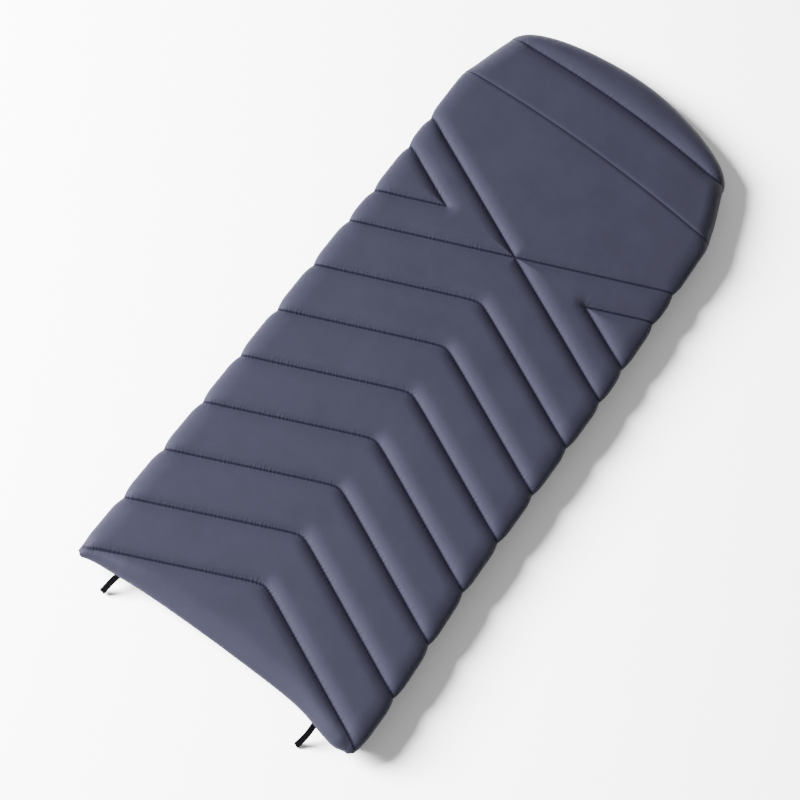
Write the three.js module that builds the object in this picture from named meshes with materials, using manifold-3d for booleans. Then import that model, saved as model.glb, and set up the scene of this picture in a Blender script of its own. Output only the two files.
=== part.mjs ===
// A hooded, semi-rectangular sleeping bag, zipped shut and lying on its front, in millimetres.
// +Y runs from the foot to the hood, +Z is up. The quilted back is on top, the front rests on the floor.
// The back half and its hood turn over the right-hand side seam when the left-hand zip is open.
import * as THREE from 'three';
import { mergeVertices } from 'three/addons/utils/BufferGeometryUtils.js';
import Module from 'manifold-3d';

const wasm = await Module();
wasm.setup();

// ---- driving dimensions -------------------------------------------------------------------------

const PITCH = 180; // spacing of the chevron seams along the bag
const SEAM_SLOPE = 0.495; // fall of a chevron arm per unit of width
const CHEVRONS = 7; // full chevron seams; the crossed seams are one pitch further on

const HALF_WIDTH = 445; // side seam to centre line, over the chevrons
const NECK_HALF_WIDTH = 430; // at the seam that joins the hood
const CROWN_HALF_WIDTH = 380; // at the ends of the crown seam
const FOOT_Y = -216; // foot edge
const FRONT_FOOT_Y = -196; // the front half ends a little short of it
const TAPER_Y = 5.8 * PITCH; // the sides run in from here
const NECK_Y = 9.3 * PITCH; // hood seam at the sides
const CROWN_SEAM_Y = 10.35 * PITCH;
const CROWN_TOP_Y = 1992;
const CROWN_ROUNDNESS = 2.25; // exponent of the crown's superellipse
const CROWN_STEPS = 14; // outline points from side to side of the crown
const FOOT_CORNER_RADIUS = 30;
const HOOD_START_Y = TAPER_Y - 300; // the hood's own outline starts here, and is cut off at the neck
const HOOD_START_RADIUS = 70;

const FRONT_TOP = 45; // the front half is filled from the floor to here
const BACK_BOTTOM = 60; // the space for the sleeper lies between
const HEIGHT = 105.5;
const MIDDLE = HEIGHT / 2; // height of the side seam and of the zip
const SIDE_ROUND = 22; // rounding of each half's edge
const HOOD_ROUND = 48; // the hood is rounded over its whole height
const FABRIC = 1.2; // shell and lining, thicker than the cloth so that they are solid
const GAP = 0.4; // clearance between layers
const LIP = 24; // how far a shell turns in over its lining side
const FOOT_EDGE_Z = 64; // the foot panel slopes down to this height at the foot edge

const SIDE_WEDGE_X = 1.37 * PITCH; // point of the small triangle between the crossed seams
const SIDE_WEDGE_Y = 7.02 * PITCH;
const SEAM_GAP = 0.5; // half of the clearance between two chambers
const FRONT_CHAMBERS = 7;
const crossing = CHEVRONS * PITCH; // where the crossed seams meet

const FACE_RADIUS_X = 135;
const FACE_RADIUS_Y = 95;
const FACE_Y = NECK_Y + FACE_RADIUS_Y + 5; // centre of the face opening, under the hood

const ZIP_X = -425;
const ZIP_BOTTOM_Y = -0.7 * PITCH;
const ZIP_TOP_Y = 8.6 * PITCH;
const TAPE_THICKNESS = 1;
const COIL_WIDTH = 4;
const COIL_HEIGHT = 2.2;
const COIL_GAP = 1.2; // between the two half coils, for the slider's web
const STOP_LENGTH = 6;
const TAPE_OVERRUN = 11; // the tapes run on past the coils at both ends
const SLIDER_DOWN = 14; // the closed slider's middle, below the top of the coils
const SLIDER_LENGTH = 20;
const SLIDER_WIDTH = 11;
const SLIDER_PLATE = 1.6;
const SLIDER_CLEAR = 0.5; // between a slider plate and the coils
const BAIL_LENGTH = 12;
const BAIL_REACH = 3.6;
const BAIL_WIRE = 1.3;
const PULL_LENGTH = 39.6;
const PULL_WIDTH = 9;
const PULL_THICKNESS = 1.4;

const STRIP_X = 436; // cloth that joins the halves down the folding side
const STRIP_THICKNESS = 1.5;
const BINDING_HALF_LENGTH = 395;
const BINDING_WIDTH = 14;
const BINDING_HEIGHT = 5;
const TUBE_X = -406; // stuffed tube behind the zip
const TUBE_RADII = [11, 6.5];
const COLLAR_Y = 8.85 * PITCH; // stuffed collar at the neck
const COLLAR_RADII = [30, 4.5];
const COLLAR_LENGTH = 760;

const TAB_SPAN = [8.76 * PITCH, 8.96 * PITCH]; // chin tab, over the zip's top end
const TAB_INNER_X = -434.6;
const TAB_THICKNESS = 1.4;
const TAB_HEIGHTS = [12, 80];
const PATCH_THICKNESS = 1;
const PATCH_HEIGHTS = [14, 34];

const LOOP_X = 328; // centre of each hang loop from the centre line
const LOOP_WIDTH = 15;
const LOOP_LENGTH = 74;
const LOOP_THICKNESS = 1.4;
const LOOP_BELLY = 9; // widest gap between the two legs
const LOOP_DROP_DEG = 37; // how far the loop hangs below level
const LOOP_ROOT_Y = FOOT_Y - 3;
const LOOP_EYE_START = 12; // the two legs are sewn together up to here

const FAR = 1200; // reaches past the bag in plan
const TALL = 200; // reaches past the bag in height

// ---- plan outlines ------------------------------------------------------------------------------

// A point of the crown's edge, from the right-hand end of its seam to the left-hand end.
function crownPoint(step) {
  const x = CROWN_HALF_WIDTH * Math.cos((Math.PI * step) / CROWN_STEPS);
  const part = 1 - Math.pow(Math.abs(x) / CROWN_HALF_WIDTH, CROWN_ROUNDNESS);
  const rise = (CROWN_TOP_Y - CROWN_SEAM_Y) * Math.pow(Math.max(part, 0), 1 / CROWN_ROUNDNESS);
  return new THREE.Vector2(x, CROWN_SEAM_Y + rise);
}

function bagOutline(footY, r) {
  const shape = new THREE.Shape();
  shape.moveTo(-HALF_WIDTH + r, footY);
  shape.lineTo(HALF_WIDTH - r, footY);
  shape.absarc(HALF_WIDTH - r, footY + r, r, -Math.PI / 2, 0, false);
  shape.lineTo(HALF_WIDTH, TAPER_Y);
  shape.lineTo(NECK_HALF_WIDTH, NECK_Y);
  for (let step = 0; step <= CROWN_STEPS; step += 1) {
    const point = crownPoint(step);
    shape.lineTo(point.x, point.y);
  }
  shape.lineTo(-NECK_HALF_WIDTH, NECK_Y);
  shape.lineTo(-HALF_WIDTH, TAPER_Y);
  shape.lineTo(-HALF_WIDTH, footY + r);
  shape.absarc(-HALF_WIDTH + r, footY + r, r, Math.PI, 1.5 * Math.PI, false);
  return shape;
}

function polygon(points) {
  return new THREE.Shape(points.map(([x, y]) => new THREE.Vector2(x, y)));
}

// ---- solids -------------------------------------------------------------------------------------

function toSolid(geometry) {
  const bare = geometry.clone();
  bare.deleteAttribute('normal');
  bare.deleteAttribute('uv');
  const merged = mergeVertices(bare, 1e-4);
  return new wasm.Manifold(
    new wasm.Mesh({
      numProp: 3,
      vertProperties: Float32Array.from(merged.attributes.position.array),
      triVerts: Uint32Array.from(merged.index.array),
    }),
  );
}

function toGeometry(solid) {
  const mesh = solid.getMesh();
  const geometry = new THREE.BufferGeometry();
  geometry.setAttribute('position', new THREE.BufferAttribute(mesh.vertProperties, 3));
  geometry.setIndex(new THREE.BufferAttribute(mesh.triVerts, 1));
  geometry.computeVertexNormals();
  return geometry;
}

function prism(shape, low, high) {
  const options = { depth: high - low, bevelEnabled: false, curveSegments: 6 };
  const geometry = new THREE.ExtrudeGeometry(shape, options);
  geometry.translate(0, 0, low);
  return toSolid(geometry);
}

function box(x0, x1, y0, y1, z0, z1) {
  const geometry = new THREE.BoxGeometry(x1 - x0, y1 - y0, z1 - z0);
  geometry.translate((x0 + x1) / 2, (y0 + y1) / 2, (z0 + z1) / 2);
  return toSolid(geometry);
}

// A cushion of the given outline with round edges, drawn in by inset all over.
function cushion(outline, low, high, round, inset) {
  const z0 = low + inset;
  const z1 = high - inset;
  const bevel = Math.min(round, (z1 - z0) / 2 - 0.5);
  const geometry = new THREE.ExtrudeGeometry(outline, {
    depth: z1 - z0 - 2 * bevel,
    bevelThickness: bevel,
    bevelSize: bevel,
    bevelOffset: -inset - bevel,
    bevelSegments: 3,
    curveSegments: 3,
  });
  geometry.translate(0, 0, z0 + bevel);
  return toSolid(geometry);
}

// A flat sheet of the bag's outline, drawn in by inset.
function flatSheet(footY, inset, low, high) {
  const edge = 0.1;
  const geometry = new THREE.ExtrudeGeometry(bagOutline(footY, FOOT_CORNER_RADIUS), {
    depth: high - low - 2 * edge,
    bevelThickness: edge,
    bevelSize: edge,
    bevelOffset: -inset - edge,
    bevelSegments: 1,
    curveSegments: 3,
  });
  geometry.translate(0, 0, low + edge);
  return toSolid(geometry);
}

// A chevron seam's place at a distance x from the centre line.
function chevronY(index, x) {
  return index * PITCH - SEAM_SLOPE * Math.abs(x);
}

function chevronBand(from, to) {
  const shape = polygon([
    [-FAR, chevronY(from, FAR) + SEAM_GAP],
    [0, chevronY(from, 0) + SEAM_GAP],
    [FAR, chevronY(from, FAR) + SEAM_GAP],
    [FAR, chevronY(to, FAR) - SEAM_GAP],
    [0, chevronY(to, 0) - SEAM_GAP],
    [-FAR, chevronY(to, FAR) - SEAM_GAP],
  ]);
  return prism(shape, -TALL, TALL);
}

function crossBand(y0, y1) {
  return box(-FAR, FAR, y0 + SEAM_GAP, y1 - SEAM_GAP, -TALL, TALL);
}

function faceHole(grow) {
  const hole = new THREE.Shape();
  hole.absellipse(0, FACE_Y, FACE_RADIUS_X + grow, FACE_RADIUS_Y + grow, 0, 2 * Math.PI, false, 0);
  return prism(hole, -TALL, MIDDLE - 1);
}

// Everything above the sloping foot panel, drawn in by inset.
function aboveFoot(inset) {
  const slope = (HEIGHT - FOOT_EDGE_Z) / -FOOT_Y;
  const wedge = new THREE.Shape();
  const top = HEIGHT - inset * 1.05;
  wedge.moveTo(PITCH, top + slope * PITCH);
  wedge.lineTo(PITCH, TALL);
  wedge.lineTo(-FAR, TALL);
  wedge.lineTo(-FAR, top - slope * FAR);
  const geometry = new THREE.ExtrudeGeometry(wedge, { depth: 2 * FAR, bevelEnabled: false });
  geometry.translate(0, 0, -FAR);
  const turn = new THREE.Matrix4().set(0, 0, 1, 0, 1, 0, 0, 0, 0, 1, 0, 0, 0, 0, 0, 1);
  geometry.applyMatrix4(turn);
  const shift = inset * Math.hypot(1, SEAM_SLOPE);
  const plan = polygon([
    [-FAR, chevronY(0, FAR) + shift],
    [-FAR, -2 * FAR],
    [FAR, -2 * FAR],
    [FAR, chevronY(0, FAR) + shift],
    [0, chevronY(0, 0) + shift],
  ]);
  return toSolid(geometry).intersect(prism(plan, -TALL, 2 * TALL));
}

// ---- scene --------------------------------------------------------------------------------------

const bag = new THREE.Group();

const shellCloth = { color: 0x54566a, roughness: 0.62, metalness: 0 };
const liningCloth = { color: 0x2c2d33, roughness: 0.8, metalness: 0 };
const wadding = { color: 0xe9e8e2, roughness: 1, metalness: 0 };
const webbing = { color: 0x0b0b0c, roughness: 0.85, metalness: 0 };
const coilPlastic = { color: 0x14141a, roughness: 0.5, metalness: 0 };
const sliderMetal = { color: 0x33343a, roughness: 0.35, metalness: 0.9 };

function addMesh(name, geometry, look, place = [0, 0, 0]) {
  const mesh = new THREE.Mesh(geometry, new THREE.MeshStandardMaterial(look));
  mesh.name = name;
  mesh.position.set(...place);
  bag.add(mesh);
  return mesh;
}

function addSolid(name, solid, look) {
  return addMesh(name, toGeometry(solid), look);
}

// ---- back half: shell, wadding and lining ---------------------------------------------------------

const backOutline = bagOutline(FOOT_Y, FOOT_CORNER_RADIUS);
const hoodOutline = bagOutline(HOOD_START_Y, HOOD_START_RADIUS);
const frontOutline = bagOutline(FRONT_FOOT_Y, FOOT_CORNER_RADIUS);

function backOuter(inset) {
  return cushion(backOutline, BACK_BOTTOM, HEIGHT, SIDE_ROUND, inset).subtract(aboveFoot(inset));
}

function hoodOuter(inset) {
  return cushion(hoodOutline, 0, HEIGHT, HOOD_ROUND, inset);
}

const footRegion = prism(
  polygon([
    [-FAR, chevronY(0, FAR) - SEAM_GAP],
    [-FAR, -2 * FAR],
    [FAR, -2 * FAR],
    [FAR, chevronY(0, FAR) - SEAM_GAP],
    [0, -SEAM_GAP],
  ]),
  -TALL,
  TALL,
);
const bodyRegion = prism(
  polygon([
    [-FAR, chevronY(0, FAR) + SEAM_GAP],
    [0, SEAM_GAP],
    [FAR, chevronY(0, FAR) + SEAM_GAP],
    [FAR, NECK_Y - SEAM_GAP],
    [-FAR, NECK_Y - SEAM_GAP],
  ]),
  -TALL,
  TALL,
);
const hoodRegion = crossBand(NECK_Y, CROWN_SEAM_Y);
const crownRegion = crossBand(CROWN_SEAM_Y, 2 * FAR);
const upperRegion = box(-FAR, FAR, -2 * FAR, 2 * FAR, MIDDLE, TALL);

const backOpening = flatSheet(FOOT_Y, LIP, BACK_BOTTOM - 5, BACK_BOTTOM + FABRIC + 0.2);
const backShell = backOuter(0).subtract(backOuter(FABRIC)).subtract(backOpening);
addSolid('foot_panel_shell', backShell.intersect(footRegion), shellCloth);
addSolid('body_panel_shell', backShell.intersect(bodyRegion), shellCloth);

const hoodShell = hoodOuter(0).subtract(hoodOuter(FABRIC));
addSolid('hood_panel_shell', hoodShell.intersect(hoodRegion).intersect(upperRegion), shellCloth);
addSolid('crown_panel_shell', hoodShell.intersect(crownRegion).intersect(upperRegion), shellCloth);

const inner = FABRIC + GAP;
const backWadding = backOuter(inner);
const hoodWadding = hoodOuter(inner);
const hoodUpper = hoodWadding.intersect(box(-FAR, FAR, -2 * FAR, 2 * FAR, BACK_BOTTOM + inner, TALL));
addSolid('foot_fill', backWadding.intersect(footRegion), wadding);
for (let index = 0; index < CHEVRONS; index += 1) {
  addSolid(`chevron_fill_${index + 1}`, backWadding.intersect(chevronBand(index, index + 1)), wadding);
}

// Between the crossed seams: an arm-shaped chamber on each side, with a small triangular one in it.
function sideOfCross(side) {
  const reach = SEAM_SLOPE * FAR;
  return prism(
    polygon([
      [side * SEAM_GAP * 3, crossing],
      [side * FAR, crossing - reach + SEAM_GAP],
      [side * FAR, crossing + reach - SEAM_GAP],
    ]),
    -TALL,
    TALL,
  );
}

function sideWedge(side, grow) {
  const reach = SEAM_SLOPE * (FAR - SIDE_WEDGE_X);
  return prism(
    polygon([
      [side * (SIDE_WEDGE_X - 2 * grow), SIDE_WEDGE_Y],
      [side * FAR, SIDE_WEDGE_Y - reach - grow],
      [side * FAR, SIDE_WEDGE_Y + reach + grow],
    ]),
    -TALL,
    TALL,
  );
}

for (const [side, word] of [[-1, 'left'], [1, 'right']]) {
  const arm = backWadding.intersect(sideOfCross(side)).subtract(sideWedge(side, 2 * SEAM_GAP));
  addSolid(`cross_fill_${word}`, arm, wadding);
  addSolid(`wedge_fill_${word}`, backWadding.intersect(sideWedge(side, 0)), wadding);
}

const yokeRegion = prism(
  polygon([
    [-FAR, crossing + SEAM_SLOPE * FAR + SEAM_GAP],
    [0, crossing + SEAM_GAP],
    [FAR, crossing + SEAM_SLOPE * FAR + SEAM_GAP],
    [FAR, 2 * FAR],
    [-FAR, 2 * FAR],
  ]),
  -TALL,
  TALL,
);
addSolid('yoke_fill', backWadding.intersect(yokeRegion).intersect(bodyRegion), wadding);
addSolid('hood_fill', hoodUpper.intersect(hoodRegion), wadding);
addSolid('crown_fill', hoodUpper.intersect(crownRegion), wadding);

const backLining = flatSheet(FOOT_Y, LIP + 1, BACK_BOTTOM, BACK_BOTTOM + FABRIC);
const belowNeck = box(-FAR, FAR, -FAR, NECK_Y - SEAM_GAP, 0, TALL);
const aboveNeck = box(-FAR, FAR, NECK_Y + SEAM_GAP, 2 * FAR, 0, TALL);
addSolid('back_lining', backLining.intersect(belowNeck), liningCloth);
addSolid('hood_lining', backLining.intersect(aboveNeck), liningCloth);

// ---- hood rim, under the head, round the face opening ---------------------------------------------

const rimRegion = box(-FAR, FAR, NECK_Y + SEAM_GAP, 2 * FAR, -TALL, MIDDLE - GAP);
addSolid('hood_rim_shell', hoodShell.intersect(rimRegion).subtract(faceHole(0)), shellCloth);
const belowRimLining = box(-FAR, FAR, -2 * FAR, 2 * FAR, -TALL, FRONT_TOP - inner);
const rimWadding = hoodWadding.intersect(rimRegion).intersect(belowRimLining);
addSolid('hood_rim_fill', rimWadding.subtract(faceHole(FABRIC + 2 * GAP)), wadding);

// The hood's side wall, between the wadding above and below the head.
const hoodWall = hoodWadding
  .intersect(box(-FAR, FAR, NECK_Y + SEAM_GAP, 2 * FAR, FRONT_TOP - inner + GAP, BACK_BOTTOM + inner - GAP))
  .subtract(flatSheet(FOOT_Y, LIP + 1 - GAP, 0, TALL));
addSolid('hood_wall_fill', hoodWall, wadding);
const rimLining = flatSheet(FOOT_Y, LIP + 1, FRONT_TOP - FABRIC, FRONT_TOP);
addSolid('hood_rim_lining', rimLining.intersect(rimRegion).subtract(faceHole(0)), liningCloth);

// The elastic edge of the face opening.
const elasticRing = faceHole(GAP + FABRIC)
  .subtract(faceHole(GAP))
  .intersect(rimRegion)
  .intersect(box(-FAR, FAR, 0, 2 * FAR, inner, FRONT_TOP - inner));
addSolid('hood_elastic', elasticRing, webbing);

// ---- front half: shell, wadding and lining --------------------------------------------------------

function frontOuter(inset) {
  return cushion(frontOutline, 0, FRONT_TOP, SIDE_ROUND, inset);
}

const frontRegion = box(-FAR, FAR, -FAR, NECK_Y - SEAM_GAP, -TALL, TALL);
const frontOpening = flatSheet(FRONT_FOOT_Y, LIP, FRONT_TOP - FABRIC - 0.2, FRONT_TOP + 5);
const frontShell = frontOuter(0).subtract(frontOuter(FABRIC)).subtract(frontOpening);
addSolid('front_shell', frontShell.intersect(frontRegion), shellCloth);

const frontWadding = frontOuter(inner).intersect(frontRegion);
const frontPitch = (NECK_Y - FRONT_FOOT_Y) / FRONT_CHAMBERS;
for (let index = 0; index < FRONT_CHAMBERS; index += 1) {
  const y0 = FRONT_FOOT_Y + index * frontPitch;
  addSolid(`front_fill_${index + 1}`, frontWadding.intersect(crossBand(y0, y0 + frontPitch)), wadding);
}
const frontLining = flatSheet(FRONT_FOOT_Y, LIP + 1, FRONT_TOP - FABRIC, FRONT_TOP);
addSolid('front_lining', frontLining.intersect(frontRegion), liningCloth);

// ---- side seam, foot binding, draught tube and collar ---------------------------------------------

const stripSpan = [FRONT_FOOT_Y + FOOT_CORNER_RADIUS, TAPER_Y];
addSolid(
  'side_seam',
  box(STRIP_X, STRIP_X + STRIP_THICKNESS, ...stripSpan, FRONT_TOP + GAP, MIDDLE - GAP),
  shellCloth,
);
const bindingHeights = [MIDDLE - BINDING_HEIGHT / 2, MIDDLE + BINDING_HEIGHT / 2];
addSolid(
  'foot_binding',
  box(-BINDING_HALF_LENGTH, BINDING_HALF_LENGTH, FOOT_Y, FOOT_Y + BINDING_WIDTH, ...bindingHeights),
  webbing,
);

// A flattened stuffed tube along Y, from y = 0, of the given half section radii across and up.
function stuffedTube([across, up], length) {
  const shape = new THREE.Shape();
  shape.absellipse(0, 0, across, up, 0, 2 * Math.PI, false, 0);
  const geometry = new THREE.ExtrudeGeometry(shape, { depth: length, bevelEnabled: false, curveSegments: 6 });
  geometry.rotateX(Math.PI / 2);
  geometry.translate(0, length, 0);
  return geometry;
}

const zipLength = ZIP_TOP_Y - ZIP_BOTTOM_Y;
addMesh('draught_tube', stuffedTube(TUBE_RADII, zipLength), shellCloth, [TUBE_X, ZIP_BOTTOM_Y, MIDDLE + GAP]);
const collar = stuffedTube(COLLAR_RADII, COLLAR_LENGTH);
collar.rotateZ(-Math.PI / 2);
const collarZ = BACK_BOTTOM - COLLAR_RADII[1] - GAP;
addMesh('draught_collar', collar, shellCloth, [-COLLAR_LENGTH / 2, COLLAR_Y, collarZ]);

// ---- zip ------------------------------------------------------------------------------------------

const coilNear = COIL_GAP / 2;
const coilFar = coilNear + COIL_HEIGHT;
const tapeSpan = [ZIP_BOTTOM_Y - TAPE_OVERRUN, ZIP_TOP_Y + TAPE_OVERRUN];
for (const [side, word, edge] of [[-1, 'front', FRONT_TOP], [1, 'back', BACK_BOTTOM]]) {
  const span = (a, b) => [MIDDLE + side * a, MIDDLE + side * b].toSorted((p, q) => p - q);
  const coil = span(coilNear, coilFar);
  const tape = span(coilFar + 0.3, Math.abs(edge - MIDDLE) - GAP);
  addSolid(
    `${word}_zip_coil`,
    box(ZIP_X - COIL_WIDTH / 2, ZIP_X + COIL_WIDTH / 2, ZIP_BOTTOM_Y, ZIP_TOP_Y, ...coil),
    coilPlastic,
  );
  addSolid(
    `${word}_zip_tape`,
    box(ZIP_X - TAPE_THICKNESS / 2, ZIP_X + TAPE_THICKNESS / 2, ...tapeSpan, ...tape),
    webbing,
  );
  addSolid(
    `${word}_top_stop`,
    box(ZIP_X - 2.6, ZIP_X + 2.6, ZIP_TOP_Y + 0.5, ZIP_TOP_Y + 0.5 + STOP_LENGTH, ...coil),
    sliderMetal,
  );
}
addSolid(
  'zip_bottom_stop',
  box(ZIP_X - 3, ZIP_X + 3, ZIP_BOTTOM_Y - 9, ZIP_BOTTOM_Y - 0.5, MIDDLE - coilFar, MIDDLE - 0.3),
  sliderMetal,
);

// Slider: two plates joined by a thin web that runs between the half coils, and a bail for the pull.
const sliderY = ZIP_TOP_Y - SLIDER_DOWN;
const plateSpan = [sliderY - SLIDER_LENGTH / 2, sliderY + SLIDER_LENGTH / 2];
const plateHeights = [MIDDLE - SLIDER_WIDTH / 2, MIDDLE + SLIDER_WIDTH / 2];
const coilSide = COIL_WIDTH / 2 + SLIDER_CLEAR;
const outerFace = ZIP_X - coilSide - SLIDER_PLATE;
const outerPlate = box(outerFace, outerFace + SLIDER_PLATE, ...plateSpan, ...plateHeights);
const innerPlate = box(ZIP_X + coilSide, ZIP_X + coilSide + SLIDER_PLATE, ...plateSpan, ...plateHeights);
const web = box(ZIP_X - 3, ZIP_X + 3, sliderY + 3, sliderY + 9, MIDDLE - 0.35, MIDDLE + 0.35);
const bailEnd = BAIL_LENGTH / 2;
const bailBlock = box(
  outerFace - BAIL_REACH,
  outerFace + 0.5,
  sliderY - bailEnd,
  sliderY + bailEnd,
  MIDDLE - BAIL_WIRE,
  MIDDLE + BAIL_WIRE,
);
const bailHole = box(
  outerFace - BAIL_REACH + BAIL_WIRE,
  outerFace,
  sliderY - bailEnd + BAIL_WIRE,
  sliderY + bailEnd - BAIL_WIRE,
  MIDDLE - 2 * BAIL_WIRE,
  MIDDLE + 2 * BAIL_WIRE,
);
addSolid('zip_slider', outerPlate.add(innerPlate).add(web).add(bailBlock.subtract(bailHole)), sliderMetal);

// Pull tab: a flat plate with an eye round the bail, lying back along the zip.
const pullX = outerFace - 1.2;
const pullTop = sliderY + 1.6;
const pullPlate = box(
  pullX - PULL_THICKNESS / 2,
  pullX + PULL_THICKNESS / 2,
  pullTop - PULL_LENGTH,
  pullTop,
  MIDDLE - PULL_WIDTH / 2,
  MIDDLE + PULL_WIDTH / 2,
);
const pullEye = box(pullX - 2, pullX + 2, sliderY - 7.6, sliderY + 0.4, MIDDLE - 1.8, MIDDLE + 1.8);
addSolid('zip_pull', pullPlate.subtract(pullEye), sliderMetal);

// ---- chin tab and its patch -------------------------------------------------------------------------

// The tab is sewn to the back half at its top edge and closes down over the zip's end.
const tab = box(TAB_INNER_X - TAB_THICKNESS, TAB_INNER_X, ...TAB_SPAN, ...TAB_HEIGHTS);
addSolid('chin_tab', tab, webbing);
const patchX = TAB_INNER_X + GAP;
addSolid('chin_tab_patch', box(patchX, patchX + PATCH_THICKNESS, ...TAB_SPAN, ...PATCH_HEIGHTS), webbing);

// ---- hang loops -------------------------------------------------------------------------------------

// The side view of a loop of folded webbing: two legs that part towards the bend.
function loopSide() {
  const half = LOOP_BELLY / 2;
  const t = LOOP_THICKNESS;
  const bendX = LOOP_LENGTH - half - t;
  const outer = new THREE.Shape();
  outer.moveTo(0, t);
  outer.lineTo(0, -t);
  outer.quadraticCurveTo(bendX * 0.4, -half - t, bendX, -half - t);
  outer.absarc(bendX, 0, half + t, -Math.PI / 2, Math.PI / 2, false);
  outer.quadraticCurveTo(bendX * 0.4, half + t, 0, t);
  const eye = new THREE.Path();
  eye.moveTo(LOOP_EYE_START, 0);
  eye.quadraticCurveTo(bendX * 0.45, half, bendX, half);
  eye.absarc(bendX, 0, half, Math.PI / 2, -Math.PI / 2, true);
  eye.quadraticCurveTo(bendX * 0.45, -half, LOOP_EYE_START, 0);
  outer.holes.push(eye);
  return outer;
}

const loopGeometry = new THREE.ExtrudeGeometry(loopSide(), {
  depth: LOOP_WIDTH,
  bevelEnabled: false,
  curveSegments: 6,
});
// The loop's length runs towards -Y, its thickness is up and its width lies across the bag.
const layLoop = new THREE.Matrix4().set(0, 0, -1, LOOP_WIDTH / 2, -1, 0, 0, 0, 0, 1, 0, 0, 0, 0, 0, 1);
loopGeometry.applyMatrix4(layLoop);
for (const [side, word] of [[-1, 'left'], [1, 'right']]) {
  const loop = addMesh(`hang_loop_${word}`, loopGeometry, webbing, [side * LOOP_X, LOOP_ROOT_Y, MIDDLE]);
  loop.rotation.x = (LOOP_DROP_DEG * Math.PI) / 180;
}

// The origin is under the middle of the bag's box, on the floor.
bag.updateMatrixWorld(true);
const bounds = new THREE.Box3().setFromObject(bag, true);
const centre = bounds.getCenter(new THREE.Vector3());
bag.position.set(-centre.x, -centre.y, -bounds.min.z);

export default bag;
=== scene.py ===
"""A hooded, quilted sleeping bag lying on its front.

Its shell, linings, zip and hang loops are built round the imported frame.
"""

import math

import bmesh
import bpy
import numpy as np
from bpy.props import FloatProperty, PointerProperty, StringProperty
from mathutils import Matrix, Vector


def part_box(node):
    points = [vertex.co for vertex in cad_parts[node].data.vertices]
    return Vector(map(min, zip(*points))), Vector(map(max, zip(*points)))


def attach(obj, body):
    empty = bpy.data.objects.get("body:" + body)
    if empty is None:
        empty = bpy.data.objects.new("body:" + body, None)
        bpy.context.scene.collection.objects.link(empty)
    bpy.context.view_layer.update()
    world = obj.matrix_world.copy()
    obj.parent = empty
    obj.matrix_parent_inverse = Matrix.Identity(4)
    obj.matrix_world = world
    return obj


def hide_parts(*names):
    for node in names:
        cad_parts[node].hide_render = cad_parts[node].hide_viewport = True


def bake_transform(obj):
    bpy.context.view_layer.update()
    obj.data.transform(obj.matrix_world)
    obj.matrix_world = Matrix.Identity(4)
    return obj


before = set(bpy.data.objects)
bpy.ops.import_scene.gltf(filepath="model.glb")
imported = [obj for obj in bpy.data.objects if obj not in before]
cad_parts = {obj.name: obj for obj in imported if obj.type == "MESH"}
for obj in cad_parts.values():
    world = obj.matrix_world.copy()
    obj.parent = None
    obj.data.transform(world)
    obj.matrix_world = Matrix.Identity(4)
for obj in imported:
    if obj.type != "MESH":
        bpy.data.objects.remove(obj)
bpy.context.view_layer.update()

bl_info = {
    "name": "Quilted Sleeping Bag",
    "version": (1, 0, 0),
    "blender": (4, 5, 0),
    "location": "View3D > Sidebar > Sleeping Bag",
    "description": "Builds a hooded, quilted sleeping bag with its zip, linings and loops",
    "category": "Object",
}

# ---- places read from the frame --------------------------------------------------------------

CHAMBER_GAP = 0.0005  # each wadding node stops this far short of its seam
SEAM_SLOPE = 0.495  # fall of a chevron arm per unit of width
SEAM_LEAN = 1 / math.sqrt(1 + SEAM_SLOPE ** 2)
CHEVRONS = 7

CROSS_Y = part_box("chevron_fill_7")[1][1] + CHAMBER_GAP
PITCH = (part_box("chevron_fill_7")[1][1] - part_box("chevron_fill_1")[1][1]) / (CHEVRONS - 1)
FIRST_Y = CROSS_Y - CHEVRONS * PITCH
SIDE_PUFF = 0.0105  # the chambers' puff stands this far out at the sides
HALF_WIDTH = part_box("body_panel_shell")[1][0] - SIDE_PUFF
TOP_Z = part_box("body_panel_shell")[1][2]
BACK_LOW_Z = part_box("back_lining")[0][2]
FRONT_TOP_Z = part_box("front_lining")[1][2]
FOOT_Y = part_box("foot_binding")[0][1]
FRONT_FOOT_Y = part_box("front_shell")[0][1]
NECK_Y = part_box("hood_panel_shell")[0][1] - CHAMBER_GAP
CROWN_SEAM_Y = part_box("crown_panel_shell")[0][1] - CHAMBER_GAP
CROWN_TOP_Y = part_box("crown_panel_shell")[1][1]
CROWN_HALF_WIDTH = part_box("crown_panel_shell")[1][0] - SIDE_PUFF
NECK_HALF_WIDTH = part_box("hood_panel_shell")[1][0] - SIDE_PUFF
TAPER_Y = FIRST_Y + 5.8 * PITCH  # from here the sides draw in towards the neck
SPLIT_Z = (BACK_LOW_Z + FRONT_TOP_Z) / 2

MERGE_DISTANCE = 2e-5
SLIVER_LENGTH = 1e-6
TINY = 1e-12  # lengths below this have no direction


# ---- small helpers ---------------------------------------------------------------------------

def linear(hex_colour, alpha=1.0):
    """An sRGB hex colour as the linear RGBA that shader sockets want."""
    parts = [int(hex_colour[i:i + 2], 16) / 255 for i in (1, 3, 5)]
    straight = [c / 12.92 if c <= 0.04045 else ((c + 0.055) / 1.055) ** 2.4 for c in parts]
    return (*straight, alpha)


def add_node(tree, kind, settings=None, links=None):
    """A shader node with its settings, and inputs that are values or other nodes' sockets."""
    node = tree.nodes.new(kind)
    for key, value in (settings or {}).items():
        setattr(node, key, value)
    for key, value in (links or {}).items():
        if isinstance(value, bpy.types.NodeSocket):
            tree.links.new(value, node.inputs[key])
        else:
            node.inputs[key].default_value = value
    return node


def link_object(name, mesh):
    piece = bpy.data.objects.new(name, mesh)
    bpy.context.scene.collection.objects.link(piece)
    return piece


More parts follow.
